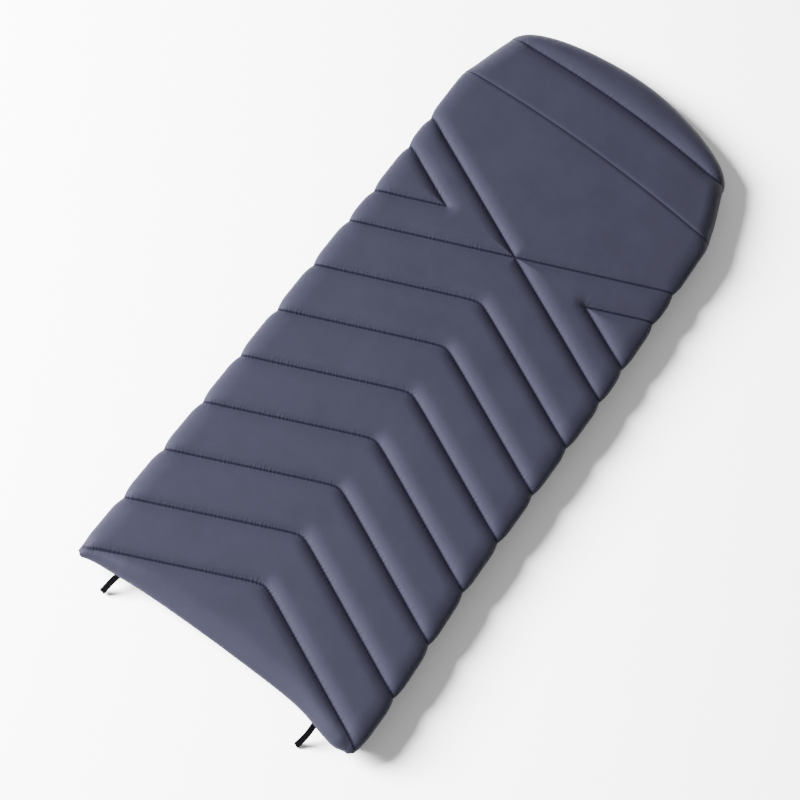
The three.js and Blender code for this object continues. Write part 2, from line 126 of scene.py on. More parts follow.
def finish_mesh(bm, name, smooth=True):
    mesh = bpy.data.meshes.new(name)
    bm.to_mesh(mesh)
    bm.free()
    if smooth:
        mesh.shade_smooth()
    return link_object(name, mesh)


# ---- the plan of the seams -------------------------------------------------------------------

CROWN_ROUNDNESS = 2.1
CROWN_FULLNESS = 1.02
CROWN_POINT = 0.06  # the crown stands a little further out in its middle
CROWN_POINT_WIDTH = 0.35  # over this share of its half width
CROWN_DROOP = 0.19  # and falls away towards its ends
CROWN_DROOP_POWERS = (4, 3)  # how late that starts: zip side, folding side
HOOD_LEAN = 0.022  # the hood lies a little over to the zip side
HOOD_LEAN_START = NECK_Y - 0.6
HOOD_TUCK = 0.009  # and is drawn in on the other
HOOD_TUCK_START = NECK_Y + 0.06
WEDGE_X = 1.37 * PITCH  # the points of the V-shaped seams
WEDGE_Y = CROSS_Y + 0.02 * PITCH
APEX_RADIUS = 0.016
NECK_BOW = 0.125 * PITCH
CROWN_BOW = 0.13 * PITCH
FOOT_TUCK = 0.014  # the first seam runs out beside the foot edge
FOOT_HOLLOW = 0.028  # the slack foot edge draws in between its corners
FOOT_CORNER = 0.011  # and its corners stand out
FOOT_BELLY = 0.016  # it bulges a little before the folding side's corner
FOOT_BELLY_PLACE, FOOT_BELLY_WIDTH = 0.9, 0.2  # as shares of the half width
FOOT_ROUND = 0.010  # and rounds off there
FOOT_ROUND_SPAN = (0.92, 1.02)
CORNER_FLARES = (-0.006, 0.003)  # the foot's corners stand out sideways: folding side, zip side
CORNER_LENGTHS = (0.016, 0.07)  # how far up the sides that reaches
FOOT_SPREAD = 0.019  # the foot end lies a little wider, more so on the folding side
FOOT_SPREAD_SPAN = (FOOT_Y + 0.1, FIRST_Y + 2.5 * PITCH)
WIDTH_PASSES = 4  # a point's width and its place along the bag depend on each other


def crown_rise(x):
    """How far the crown's edge stands beyond its seam's ends, at x across the bag."""
    reach = np.where(x < 0, CROWN_HALF_WIDTH + HOOD_LEAN, CROWN_HALF_WIDTH - HOOD_TUCK)
    share = np.clip(x / reach, -1, 1)
    part = 1 - np.abs(share) ** CROWN_ROUNDNESS
    droop = CROWN_DROOP * np.abs(share) ** np.where(x < 0, *CROWN_DROOP_POWERS)
    point = CROWN_POINT * np.exp(-(share / CROWN_POINT_WIDTH) ** 2)
    fuller = CROWN_FULLNESS + point - droop
    return (CROWN_TOP_Y - CROWN_SEAM_Y) * fuller * part ** (1 / CROWN_ROUNDNESS)


def half_width(y):
    """The bag's half width at y, up to the crown seam."""
    return np.interp(
        y, [TAPER_Y, NECK_Y, CROWN_SEAM_Y], [HALF_WIDTH, NECK_HALF_WIDTH, CROWN_HALF_WIDTH]
    )


def smoothstep(low, high, value):
    t = np.clip((value - low) / (high - low), 0, 1)
    return t * t * (3 - 2 * t)


def chevron_y(index, x):
    """A chevron seam's place, its point a little rounded; the last one, the crossing, is sharp."""
    rounding = APEX_RADIUS if index < CHEVRONS else 0.0
    return FIRST_Y + index * PITCH - SEAM_SLOPE * np.sqrt(x * x + rounding * rounding)


def foot_edge(x):
    """The foot end's slack edge, drawn in between its corners."""
    share = x / HALF_WIDTH
    hollow = FOOT_HOLLOW * (1 - share ** 4) - FOOT_CORNER
    belly = FOOT_BELLY * np.exp(-((share - FOOT_BELLY_PLACE) / FOOT_BELLY_WIDTH) ** 2)
    return FOOT_Y + hollow - belly + FOOT_ROUND * smoothstep(*FOOT_ROUND_SPAN, share)


def seam_lines(x):
    """The seams' places across the bag at x, from the foot edge to the crown's edge."""
    first, crown_edge = foot_edge(x), CROWN_SEAM_Y + crown_rise(x)
    x = np.abs(x)
    low = chevron_y(CHEVRONS, x)
    high = 2 * CROSS_Y - low
    spread = np.maximum(x - WEDGE_X, 0) * SEAM_SLOPE
    middle = np.where(x < WEDGE_X, CROSS_Y + (WEDGE_Y - CROSS_Y) * x / WEDGE_X, WEDGE_Y)
    neck = NECK_Y + NECK_BOW * (1 - (x / NECK_HALF_WIDTH) ** 2)
    crown = CROWN_SEAM_Y + CROWN_BOW * (1 - (x / CROWN_HALF_WIDTH) ** 2)
    lines = [first]
    lines += [chevron_y(index, x) for index in range(CHEVRONS)]
    lines += [low, middle - spread, middle + spread, high, neck, crown, crown_edge]
    rise = lines[1] - lines[0]
    lines[1] = lines[0] + (rise + np.sqrt(rise * rise + FOOT_TUCK ** 2)) / 2
    return lines


ROWS_PER_STRIP = [26] + [24] * CHEVRONS + [14, 14, 14, 44, 26, 20]
CROWDING = 0.62  # rows lie closer together near the seams


def crowd(t):
    """A row's place when rows crowd towards the whole numbers, where the seams are."""
    return t - CROWDING * np.sin(2 * np.pi * t) / (2 * np.pi)


def row_places():
    """(strip, share of its width) of every row of the quilted grid, foot to crown."""
    rows = []
    for strip, count in enumerate(ROWS_PER_STRIP):
        for step in range(count):
            t = step / count
            rows.append((strip, crowd(t)))
    rows.append((len(ROWS_PER_STRIP) - 1, 1.0))
    return rows


# ---- the quilted surfaces --------------------------------------------------------------------

SHOULDER_POWER = 2.0
SIDE_RUN = 0.046  # how far in from the side the back starts to round off
CROWN_RUN = 1.3 * SIDE_RUN  # and how far in from the crown's edge
BACK_COLUMNS = 76
SIDE_STEPS = 12  # columns round each side
BACK_EDGE_Z = TOP_Z - 0.026  # height of the back half's widest line
HOOD_EDGE_Z = SPLIT_Z + 0.001  # and of the hood's
HOOD_BLEND = 0.05  # the one becomes the other this far to each side of the neck
FOOT_EDGE_Z = BACK_LOW_Z + 0.002
FOOT_RISE = 0.055  # the foot edge rises to the back's height over this length
SIDE_FILL_WIDTH = 0.03  # beside the sides the seams pull in less
SEAM_SIDE_FILL = 0.4  # by this share at the quilting
CROWN_SIDE_FILL = 0.92  # and by this at the crown seam
FOOT_CORNER_FILL = 0.6  # and less still where the first seam meets the foot's corners
FOOT_CORNER_RADIUS = 0.02
NECK_DIP = 0.24  # the thin neck seam pulls in only this share of the puff
NECK_SHOULDER = 0.014
LINING_REST = 0.0006  # height of the back's lining above its CAD node's lowest
LINING_TURN = 0.02
LINING_PUFF = 0.005
ZIP_CLEAR = 0.028  # the lining keeps this far from the zip's edge before it hangs


def options():
    return bpy.context.scene.sleeping_bag


def dome(t):
    """A quarter circle's height over its run t, level at 1."""
    t = np.clip(t, 0, 1)
    return np.sqrt(np.clip(1 - (1 - t) ** 2, 0, 1))


def shoulder(t):
    """A stuffed chamber's height at a share t of the way from its seam to its level top."""
    return 1 - (1 - np.clip(t, 0, 1)) ** SHOULDER_POWER


def ease(share, by):
    """Takes a share of its depth out of a dip."""
    return 1 - (1 - share) * (1 - by)


def side_columns(count, run):
    """Shares of the half width from one side to the other, closer together round the sides."""
    edge = run / HALF_WIDTH
    flat = np.linspace(0, 1 - edge, count - SIDE_STEPS + 1)[:-1]
    turn = np.linspace(0, math.pi / 2, SIDE_STEPS + 1)
    right = np.concatenate([flat, 1 - edge + edge * np.sin(turn)])
    return np.concatenate([-right[:0:-1], right])


def add_grid(bm, points, layers=None):
    """Adds a grid with its points at the given places, an array of rows by columns by 3."""
    rows, columns = points.shape[:2]
    names = {
        name: bm.verts.layers.float_vector.get(name) or bm.verts.layers.float_vector.new(name)
        for name in (layers or {})
    }
    made = bmesh.ops.create_grid(
        bm, x_segments=columns - 1, y_segments=rows - 1, size=0.5
    )["verts"]
    for vert in made:
        row = round((vert.co.y + 0.5) * (rows - 1))
        column = round((vert.co.x + 0.5) * (columns - 1))
        vert.co = points[row, column]
        for name, layer in names.items():
            vert[layer] = layers[name][row, column]
    return made


def close_mesh(bm):
    """Joins the points that fell together and turns every face outwards."""
    bmesh.ops.remove_doubles(bm, verts=bm.verts, dist=MERGE_DISTANCE)
    bmesh.ops.dissolve_degenerate(bm, edges=bm.edges, dist=SLIVER_LENGTH)
    bmesh.ops.recalc_face_normals(bm, faces=bm.faces)


def surface_normals(points):
    along = np.gradient(points, axis=1)
    up = np.gradient(points, axis=0)
    normal = np.cross(along, up)
    length = np.linalg.norm(normal, axis=-1, keepdims=True)
    return np.where(length > TINY, normal / np.maximum(length, TINY), np.array([0.0, 0.0, 1.0]))


def plan_grid(u, rows):
    """Plan places of a grid laid between the seams: x, y, the half width and the seam lines."""
    strips = np.array([strip for strip, _ in rows])[None, :, None]
    shares = np.array([share for _, share in rows])[:, None]
    width = np.full((len(rows), 1), HALF_WIDTH)
    for _ in range(WIDTH_PASSES):
        x = u[None, :] * width
        lines = np.stack(seam_lines(x))
        index = np.broadcast_to(strips, (1, *x.shape))
        low = np.take_along_axis(lines, index, axis=0)[0]
        high = np.take_along_axis(lines, index + 1, axis=0)[0]
        y = low + (high - low) * shares
        corner = np.where(x > 0, *CORNER_FLARES)
        flare = corner * np.exp(-((y - lines[0]) / np.where(x > 0, *CORNER_LENGTHS)) ** 2)
        spread = 1 - smoothstep(*FOOT_SPREAD_SPAN, y)
        flare = flare + np.where(x > 0, FOOT_SPREAD, FOOT_SPREAD / 3) * spread
        leaning = smoothstep(HOOD_LEAN_START, CROWN_SEAM_Y, y)
        tucking = smoothstep(HOOD_TUCK_START, CROWN_SEAM_Y, y)
        flare = flare + np.where(x < 0, HOOD_LEAN * leaning, -HOOD_TUCK * tucking)
        width = half_width(np.minimum(y, CROWN_SEAM_Y)) + flare
    return x, y, width, lines


def seam_distances(x, y, lines):
    """Distances from the back's points to the nearest quilting seam, the neck and the crown."""
    slanting = [*range(1, CHEVRONS + 2), CHEVRONS + 4]
    gaps = [np.abs(y - lines[index]) * SEAM_LEAN for index in slanting]
    inside = np.maximum(WEDGE_X - np.abs(x), 0)
    for index in (CHEVRONS + 2, CHEVRONS + 3):
        across = np.abs(y - lines[index]) * SEAM_LEAN
        gaps.append(np.where(inside > 0, np.hypot(inside, y - WEDGE_Y), across))
    neck, crown = (np.abs(y - lines[index]) for index in (CHEVRONS + 5, CHEVRONS + 6))
    return np.min(gaps, axis=0), neck, crown


def back_surfaces(u, rows):
    """The outside and the lining side of the back half, and what their materials read.

    That is each point's distance from the seams and from the neck, and its place along the seam.
    """
    sizes = options()
    x, y, width, lines = plan_grid(u, rows)
    quilted, neck, crown = seam_distances(x, y, lines)
    hood = smoothstep(NECK_Y - HOOD_BLEND, NECK_Y + HOOD_BLEND, y)
    edge_z = BACK_EDGE_Z + (HOOD_EDGE_Z - BACK_EDGE_Z) * hood
    from_foot, from_side = y - lines[0], width - np.abs(x)
    edge_z = FOOT_EDGE_Z + (edge_z - FOOT_EDGE_Z) * smoothstep(0, FOOT_RISE, from_foot)
    side = dome(from_side / SIDE_RUN)
    foot = dome(from_foot / np.maximum(lines[1] - lines[0], SIDE_RUN))
    past_crown = CROWN_SEAM_Y + crown_rise(x) - y
    end = np.where(y > CROWN_SEAM_Y, dome(past_crown / CROWN_RUN), 1.0)
    drop = side * foot * end
    flat = np.stack([x, y, edge_z + (TOP_Z - sizes.puff - edge_z) * drop], axis=-1)
    beside = np.exp(-(from_side / SIDE_FILL_WIDTH) ** 2)
    neck_share = 1 - NECK_DIP + NECK_DIP * shoulder(neck / NECK_SHOULDER)
    share = np.minimum(shoulder(quilted / sizes.shoulder), neck_share)
    share = ease(share, SEAM_SIDE_FILL * beside)
    from_corner = np.hypot(from_side, y - lines[1]) / FOOT_CORNER_RADIUS
    share = ease(share, FOOT_CORNER_FILL * np.exp(-from_corner ** 2))
    crown_share = shoulder(crown / sizes.shoulder)
    share = np.minimum(share, ease(crown_share, CROWN_SIDE_FILL * beside))
    top = flat + surface_normals(flat) * (sizes.puff * share)[..., None]

    floor_z = BACK_LOW_Z + LINING_REST
    inward = dome(from_side / LINING_TURN) * dome(from_foot / LINING_TURN)
    inward = inward * np.where(y > CROWN_SEAM_Y, dome(past_crown / LINING_TURN), 1.0)
    under_z = edge_z + (floor_z - edge_z) * inward
    hanging = LINING_PUFF * smoothstep(ZIP_CLEAR, 3 * ZIP_CLEAR, from_side) * (1 - hood)
    under_z = under_z - hanging * shoulder(quilted / sizes.shoulder) * inward
    under = np.stack([x, y, under_z], axis=-1)
    under[:, 0], under[:, -1] = top[:, 0], top[:, -1]
    under[0], under[-1] = top[0], top[-1]

    along = np.where(y < lines[CHEVRONS + 4], (np.abs(x) - SEAM_SLOPE * y) * SEAM_LEAN, x)
    return top, under, {"seams": np.stack([np.minimum(quilted, crown), neck, along], axis=-1)}


SEAM_HOLD = 0.0015  # the stitching holds the cloth this far to each side
NECK_HOLD = SEAM_HOLD / 8
SETTLE_FRAMES = 14
SETTLE_CAP = 0.004  # the cloth moves no further than this
CLOTH_SETTINGS = {
    "quality": 6,
    "mass": 0.08,
    "tension_stiffness": 18,
    "compression_stiffness": 18,
    "shear_stiffness": 6,
    "bending_stiffness": 0.6,
    "use_pressure": True,
    "uniform_pressure_force": 0.9,
}


def settle_cloth(surface, held):
    """Lets a quilted surface find its shape, held at its seams with the wadding pressing out.

    Every second row and column is simulated, and the rest follows in between.
    """
    coarse, pinned = surface[::2, ::2], held[::2, ::2]
    rows, columns = coarse.shape[:2]
    bm = bmesh.new()
    add_grid(bm, coarse)
    bmesh.ops.recalc_face_normals(bm, faces=bm.faces)
    if sum(face.normal.z for face in bm.faces) < 0:
        bmesh.ops.reverse_faces(bm, faces=bm.faces)
    cloth_object = finish_mesh(bm, "settling_cloth")
    places = np.array([v.co for v in cloth_object.data.vertices])
    order = grid_order(rows, columns)
    group = cloth_object.vertex_groups.new(name="seams")
    group.add([int(k) for k in np.flatnonzero(pinned[order[:, 0], order[:, 1]])], 1.0, "REPLACE")
    cloth = cloth_object.modifiers.new("cloth", "CLOTH")
    for key, value in CLOTH_SETTINGS.items():
        setattr(cloth.settings, key, value)
    cloth.settings.vertex_group_mass = "seams"
    cloth.settings.effector_weights.gravity = 0
    cloth.collision_settings.use_collision = False
    cloth.point_cache.frame_start = 1
    cloth.point_cache.frame_end = SETTLE_FRAMES
    scene = bpy.context.scene
    for frame_number in range(1, SETTLE_FRAMES + 1):
        scene.frame_set(frame_number)
    settled = cloth_object.evaluated_get(bpy.context.evaluated_depsgraph_get()).data
    moved = np.array([v.co for v in settled.vertices]) - places
    length = np.linalg.norm(moved, axis=1, keepdims=True)
    moved = moved * np.minimum(1, SETTLE_CAP / np.maximum(length, TINY))
    shift = np.zeros_like(coarse)
    shift[order[:, 0], order[:, 1]] = moved
    scene.frame_set(1)
    bpy.data.objects.remove(cloth_object)
    fine = np.zeros_like(surface)
    fine[::2, ::2] = shift
    fine[1::2, ::2] = (shift[:-1] + shift[1:]) / 2
    fine[:, 1::2] = (fine[:, :-1:2] + fine[:, 2::2]) / 2
    return surface + fine


def grid_order(rows, columns):
    """The (row, column) of each vertex of a grid in the order in which it is made."""
    bm = bmesh.new()
    bmesh.ops.create_grid(bm, x_segments=columns - 1, y_segments=rows - 1, size=0.5)
    order = [
        (round((v.co.y + 0.5) * (rows - 1)), round((v.co.x + 0.5) * (columns - 1)))
        for v in bm.verts
    ]
    bm.free()
    return np.array(order)


def quilt(name, outside, inside, layers):
    """A closed cover from its outside and its lining side, which takes the second material."""
    bm = bmesh.new()
    add_grid(bm, outside, layers)
    outer_faces = len(bm.faces)
    add_grid(bm, inside, layers)
    bm.faces.ensure_lookup_table()
    for face in bm.faces[outer_faces:]:
        face.material_index = 1
    close_mesh(bm)
    return finish_mesh(bm, name)


def build_back():
    """The half under the sleeper, from its foot to the hood's crown; it lies uppermost here."""
    u = side_columns(BACK_COLUMNS, SIDE_RUN)
    top, under, layers = back_surfaces(u, row_places())
    held = (layers["seams"][..., 0] < SEAM_HOLD) | (layers["seams"][..., 1] < NECK_HOLD)
    held[0] = held[-1] = True
    held[:, :2] = held[:, -2:] = True
    top = settle_cloth(top, held)
    piece = quilt("back_quilt", top, under, layers)
    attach(piece, "back_half")
    shells = ["foot_panel_shell", "body_panel_shell", "hood_panel_shell", "crown_panel_shell"]
    linings = ["back_lining", "hood_lining"]
    fills = [
        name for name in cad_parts
        if "fill" in name and not name.startswith(("front_fill", "hood_rim_fill"))
    ]
    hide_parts(*shells, *linings, *fills)
    return piece


FRONT_CHAMBERS = 7
FRONT_ROWS = 16  # rows in each of the front's chambers
FRONT_COLUMNS = 46
FRONT_INSET = 0.001  # the front's edge stays hidden under the back's
FRONT_FOOT_INSET = 0.014
FRONT_FOOT_LIFT = 0.07  # the foot edge comes up to meet the back's over this length
FRONT_EDGE, FRONT_LIFTED_EDGE = 0.5, 0.47  # the edge's height, and what its lift adds
FRONT_END_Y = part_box("front_shell")[1][1]
FRONT_TURN = 0.024
FRONT_PUFF = 0.006
FRONT_SIDE_PUFF = 0.005
FRONT_SIDE_POWER = 12  # the side puff is only felt close to the edge
FLOOR_DENT = 0.0022  # how far the front's seams stand off the floor
FLOOR_CLEAR = 0.0002


def build_front():
    """The half over the sleeper: seven crosswise chambers, flat where they lie on the floor."""
    sizes = options()
    u = side_columns(FRONT_COLUMNS, SIDE_RUN)
    steps = crowd(np.arange(FRONT_CHAMBERS * FRONT_ROWS + 1) / FRONT_ROWS)
    first = foot_edge(u[None, :] * HALF_WIDTH) + FRONT_FOOT_INSET
    y = first + (FRONT_END_Y - first) * (steps / FRONT_CHAMBERS)[:, None]
    width = half_width(y) - FRONT_INSET
    x = u[None, :] * width
    chamber = (FRONT_END_Y - FRONT_FOOT_Y) / FRONT_CHAMBERS
    seam = np.abs((steps - np.rint(steps)) * chamber)[:, None] + 0 * x
    ends = np.minimum(y - first, FRONT_END_Y - y)
    lifted = 1 - smoothstep(0, FRONT_FOOT_LIFT, y - first)
    middle = FRONT_TOP_Z * (FRONT_EDGE + FRONT_LIFTED_EDGE * lifted)
    turn = dome((width - np.abs(x)) / FRONT_TURN) * dome(ends / (FRONT_TURN * (1 + lifted)))
    share = shoulder(seam / sizes.shoulder)
    top_z = middle + (FRONT_TOP_Z - FRONT_PUFF - middle) * turn + FRONT_PUFF * share * turn
    low_z = middle - (middle - FLOOR_CLEAR) * turn + FLOOR_DENT * (1 - share) * turn
    puffed = x + FRONT_SIDE_PUFF * (share - 1) * np.abs(u) ** FRONT_SIDE_POWER * np.sign(u)
    outside, inside = (np.stack([puffed, y, z], axis=-1) for z in (low_z, top_z))
    layers = {"seams": np.stack([seam, 0 * x + 1, x], axis=-1)}
    piece = quilt("front_quilt", outside, inside, layers)
    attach(piece, "front_half")
    fills = [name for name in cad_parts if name.startswith("front_fill")]
    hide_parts("front_shell", "front_lining", *fills)
    return piece


# ---- swept pieces ----------------------------------------------------------------------------

X_DIR, Y_DIR, Z_DIR = (np.array(v, float) for v in ((1, 0, 0), (0, 1, 0), (0, 0, 1)))
TUBE_ROWS = 14  # rows from one tack to the next
TUBE_FULLNESS = 0.55  # the lower, the fuller the tube is between its tacks
TUBE_END_RUN = 0.7  # the ends round off over this share of the height
TUBE_END = 0.04  # and stop at this share of the section
TUBE_NARROWING = 0.1  # a tacked section is this share narrower
TUBE_POINTS, TUBE_SQUARENESS = 20, 0.8
BAND_POINTS = 12  # round the section of a tape or an elastic


def sweep(bm, path, side, up, section, closed=False):
    """Carries sections of (side, up) points along a path; an open one is drawn shut at its ends."""
    rows = [
        [centre + side_dir * across + up_dir * high for across, high in points]
        for centre, side_dir, up_dir, points in zip(path, side, up, section)
    ]
    if closed:
        rows.append(rows[0])
    grid = np.array(rows, float)
    grid = np.concatenate([grid, grid[:, :1]], axis=1)
    if not closed:
        ends = [
            np.repeat(grid[k].mean(axis=0)[None], grid.shape[1], axis=0)[None] for k in (0, -1)
        ]
        grid = np.concatenate([ends[0], grid, ends[1]], axis=0)
    return add_grid(bm, grid)


def oval(width, height, count, power):
    """A flattened ring of (side, up) points; a power below 1 squares it off."""
    angles = np.linspace(0, 2 * math.pi, count, endpoint=False)
    across, up = (
        np.sign(part) * np.abs(part) ** power for part in (np.cos(angles), np.sin(angles))
    )
    return list(zip(across * width / 2, up * height / 2))


def finish_swept(bm, name, body, slot_name, *nodes):
    close_mesh(bm)
    piece = finish_mesh(bm, name)
    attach(piece, body)
    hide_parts(*nodes)
    return piece


def node_frame(name):
    """A node's middle and its sizes along x, y and z."""
    low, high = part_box(name)
    return (np.array(low) + np.array(high)) / 2, np.array(high) - np.array(low)


def build_tube(name, node, body, along, across, chambers, slack):
    """A soft stuffed tube or flat collar, tacked down at even steps."""
    middle, size = node_frame(node)
    length, width, height = size @ np.abs(along), size @ np.abs(across), size[2]
    steps = np.linspace(0, 1, chambers * TUBE_ROWS + 1)
    phase = np.abs(np.sin(np.pi * steps * chambers))
    full = (1 - slack) + slack * phase ** TUBE_FULLNESS
    ends = dome(np.minimum(steps, 1 - steps) * length / (TUBE_END_RUN * height))
    ends = ends * (1 - TUBE_END) + TUBE_END
    path = [middle + along * length * (t - 0.5) for t in steps]
    widths = width * (1 - TUBE_NARROWING + TUBE_NARROWING * full) * ends
    section = [
        oval(wide, high, TUBE_POINTS, TUBE_SQUARENESS)
        for wide, high in zip(widths, height * full * ends)
    ]
    bm = bmesh.new()
    sweep(bm, path, [across] * len(path), [Z_DIR] * len(path), section)
    piece = finish_swept(bm, name, body, "shell_fabric", node)
    return piece


# ---- hood rim and face opening ---------------------------------------------------------------

HOOD_RIM_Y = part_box("hood_rim_shell")[0][1]
FACE_LOW, FACE_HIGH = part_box("hood_elastic")
FACE_CENTRE = ((FACE_LOW[0] + FACE_HIGH[0]) / 2, (FACE_LOW[1] + FACE_HIGH[1]) / 2)
FACE_RADII = ((FACE_HIGH[0] - FACE_LOW[0]) / 2, (FACE_HIGH[1] - FACE_LOW[1]) / 2)
HALVINGS = 30  # steps that home in on the outline
RIM_ANGLES = 144
RIM_INSET = 0.003  # the rim stops this far inside the hood's outline
FACE_GAP = 0.004  # and this far outside the face opening
RIM_LINING_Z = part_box("hood_rim_lining")[1][2]
RIM_TOP_Z = SPLIT_Z - 0.0002
RIM_TURN, RIM_TURN_SHARE = 0.046, 0.62  # run of its outer turn, and its most of the rim's width
RIM_WALL, RIM_WALL_SHARE = 0.024, 0.4  # the same for the flat edge that meets the back
RIM_STEP = 0.004  # the lining starts this far in and down from the edge
RIM_FALL = 0.004  # and falls this far towards the face
RIM_ROLL, RIM_ROLL_RISE = 0.006, 0.0208  # how deep and how high the roll at the face is
RIM_FLOOR_CLEAR = 0.0006
RIM_SEAM_LIFT, RIM_SEAM_POWER = 0.005, 0.4  # how far its seam stands off the floor, and how sharply
GATHERS = 36
GATHER_DIP, GATHER_BEND, GATHER_LIFT = 0.004, 0.0015, 0.002
FAR_FROM_SEAM, ALONG_RIM = 0.05, 0.2  # what the cloth reads where the rim has no stitched line


def hood_outline(angle):
    """Distance from the face opening's centre to the hood's outline in a direction."""
    low, high = 0.0, 1.0
    direction = (math.cos(angle), math.sin(angle))
    for _ in range(HALVINGS):
        reach = (low + high) / 2
        x, y = (centre + reach * part for centre, part in zip(FACE_CENTRE, direction))
        inside = y > HOOD_RIM_Y and abs(x) < half_width(min(y, CROWN_SEAM_Y))
        if y > CROWN_SEAM_Y:
            inside = inside and y < CROWN_SEAM_Y + crown_rise(np.array(x))
        low, high = (reach, high) if inside else (low, reach)
    return low


def build_hood_rim():
    """The hood's front: a padded rim round the face opening, gathered by its elastic edge."""
    angles = np.linspace(0, 2 * math.pi, RIM_ANGLES + 1)
    rows = []
    seams = []
    for angle in angles:
        far = hood_outline(angle) - RIM_INSET
        near = FACE_RADII[0] * FACE_RADII[1] / math.hypot(
            FACE_RADII[1] * math.cos(angle), FACE_RADII[0] * math.sin(angle)
        ) + FACE_GAP
        span = far - near
        turn_run = min(RIM_TURN, RIM_TURN_SHARE * span)
        wall = min(RIM_WALL, RIM_WALL_SHARE * span)
        gather = math.cos(angle * GATHERS)
        profile = []
        # The outer turn, from the floor up to the edge that meets the back.
        for turn in np.linspace(-math.pi / 2, 0, 9):
            run = turn_run * (1 - math.cos(turn))
            profile.append((far - run, RIM_TOP_Z * (1 + math.sin(turn))))
        profile.append((far - wall, RIM_TOP_Z))
        profile.append((far - wall - RIM_STEP, RIM_TOP_Z - RIM_STEP))
        # The lining, in towards the face.
        for share in np.linspace(0.1, 0.9, 6):
            lining_z = RIM_LINING_Z - RIM_FALL * share + GATHER_DIP * gather * share ** 2
            profile.append((far - wall - (span - wall) * share, lining_z))
        # The roll at the face opening.
        for turn in np.linspace(0.25, 0.75, 5):
            roll = RIM_ROLL * 0.5 * (1 + math.cos(2 * math.pi * turn))
            roll_z = RIM_LINING_Z * 0.5 + RIM_ROLL_RISE * math.cos(math.pi * turn)
            profile.append((near + GATHER_BEND * gather + roll, roll_z))
        # The outside, which lies on the floor, back out to the turn.
        for share in np.linspace(0.06, 0.96, 12):
            puff = abs(math.sin(math.pi * share * 2)) ** RIM_SEAM_POWER
            gathered = GATHER_LIFT * (1 + gather) * (1 - share) ** 4
            low_z = RIM_FLOOR_CLEAR + RIM_SEAM_LIFT * (1 - puff) + gathered
            profile.append((near + (span - turn_run) * share, low_z))
        profile.append(profile[0])
        rows.append([
            (FACE_CENTRE[0] + r * math.cos(angle), FACE_CENTRE[1] + r * math.sin(angle), z)
            for r, z in profile
        ])
        seams.append([(FAR_FROM_SEAM, 1.0, angle * ALONG_RIM)] * len(profile))
    bm = bmesh.new()
    add_grid(bm, np.array(rows), {"seams": np.array(seams)})
    close_mesh(bm)
    piece = finish_mesh(bm, "hood_rim_quilt")
    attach(piece, "back_half")
    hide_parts("hood_rim_shell", "hood_rim_fill", "hood_rim_lining")
    return piece


FACE_EDGE_STEPS = 216
FACE_EDGE_INSET = 0.003
FACE_EDGE_SIZE = (0.007, 0.012)  # across and up
FACE_EDGE_SQUARENESS = 0.8
FACE_EDGE_RIPPLE = 0.12  # share by which its size swells at each gather


def build_face_edge():
    """The elastic binding round the face opening, gathered in small even folds."""
    angles = np.linspace(0, 2 * math.pi, FACE_EDGE_STEPS, endpoint=False)
    path, side, up, section = [], [], [], []
    for angle in angles:
        outward = np.array([math.cos(angle), math.sin(angle), 0])
        ripple = 1 + FACE_EDGE_RIPPLE * math.cos(angle * GATHERS)
        path.append(np.array([
            FACE_CENTRE[0] + (FACE_RADII[0] - FACE_EDGE_INSET) * outward[0],
            FACE_CENTRE[1] + (FACE_RADII[1] - FACE_EDGE_INSET) * outward[1],
            (FACE_LOW[2] + FACE_HIGH[2]) / 2,
        ]))
        side.append(outward)
        up.append(Z_DIR)
        across, high = (size * ripple for size in FACE_EDGE_SIZE)
        section.append(oval(across, high, BAND_POINTS, FACE_EDGE_SQUARENESS))
    bm = bmesh.new()
    sweep(bm, path, side, up, section, closed=True)
    return finish_swept(bm, "face_elastic_edge", "back_half", "webbing", "hood_elastic")


# ---- joins -----------------------------------------------------------------------------------

STRIP_LOW_Z = 0.036
STRIP_HIGH_Z = 0.07
STRIP_THICKNESS = 0.0008
STRIP_ROWS, STRIP_STEPS = 9, 90  # points up it and along it
STRIP_END_Y = NECK_Y - 0.06
STRIP_INSET = 0.006  # how far inside the front's edge it runs
STRIP_BULGE = 0.003
FOOT_TAPE_REACH = HALF_WIDTH - 0.014
FOOT_TAPE_HEIGHT = BACK_LOW_Z - FRONT_TOP_Z + 0.004
FOOT_TAPE_THICKNESS = 0.004
FOOT_TAPE_INSET = 0.0015
FOOT_TAPE_SQUARENESS = 0.6
FOOT_TAPE_STEPS = 70


def build_side_strip():
    """The cloth that joins the two halves down the folding side."""
    bm = bmesh.new()
    heights = np.linspace(STRIP_LOW_Z, STRIP_HIGH_Z, STRIP_ROWS)
    y = np.linspace(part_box("side_seam")[0][1], STRIP_END_Y, STRIP_STEPS)
    x = half_width(y) - FRONT_INSET - STRIP_INSET
    bulge = STRIP_BULGE * np.sin(np.linspace(0, np.pi, STRIP_ROWS))
    points = np.array([
        [(out + more, along, z) for z, more in zip(heights, bulge)] for out, along in zip(x, y)
    ])
    add_grid(bm, points)
    bmesh.ops.recalc_face_normals(bm, faces=bm.faces)
    bmesh.ops.solidify(bm, geom=bm.faces[:], thickness=STRIP_THICKNESS)
    close_mesh(bm)
    piece = finish_mesh(bm, "side_fold_strip")
    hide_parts("side_seam")
    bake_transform(piece)
    return piece


